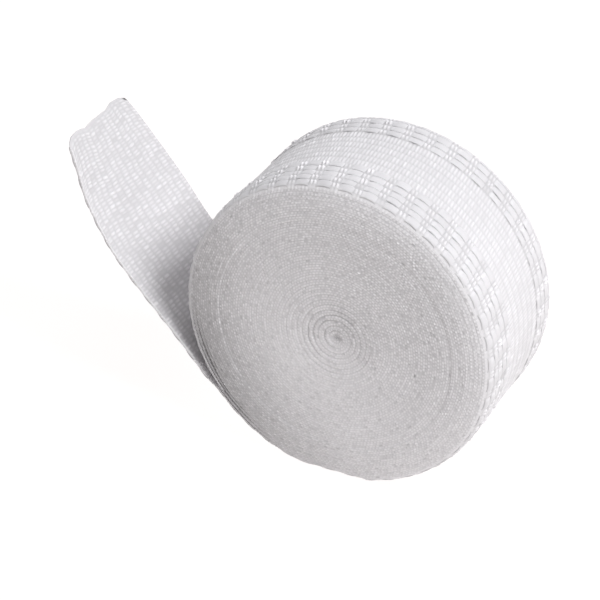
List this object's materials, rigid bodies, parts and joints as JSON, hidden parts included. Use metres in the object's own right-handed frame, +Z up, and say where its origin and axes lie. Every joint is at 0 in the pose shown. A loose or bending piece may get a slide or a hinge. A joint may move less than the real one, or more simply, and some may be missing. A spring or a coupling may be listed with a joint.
{
  "type": "roll of hem tape",
  "caption": "Flat roll of white woven hem tape standing on its rim, wound with no core, with two bands of raised floats on the outer side and the loose end curling up beside it.",
  "frame": {"origin": "middle of the small flat under the roll, on which it stands", "axes": "+Z up, +Y along the roll's axis towards the face that is away from the viewer, the loose end on the -X side"},
  "size_m": [0.0828, 0.0251, 0.0561],
  "materials": {
    "tape": "woven white filament yarn, matt with a slight sheen on the floats"
  },
  "bodies": {
    "root": {"wound_roll": "tape", "loose_end": "tape"}
  },
  "joints": []
}
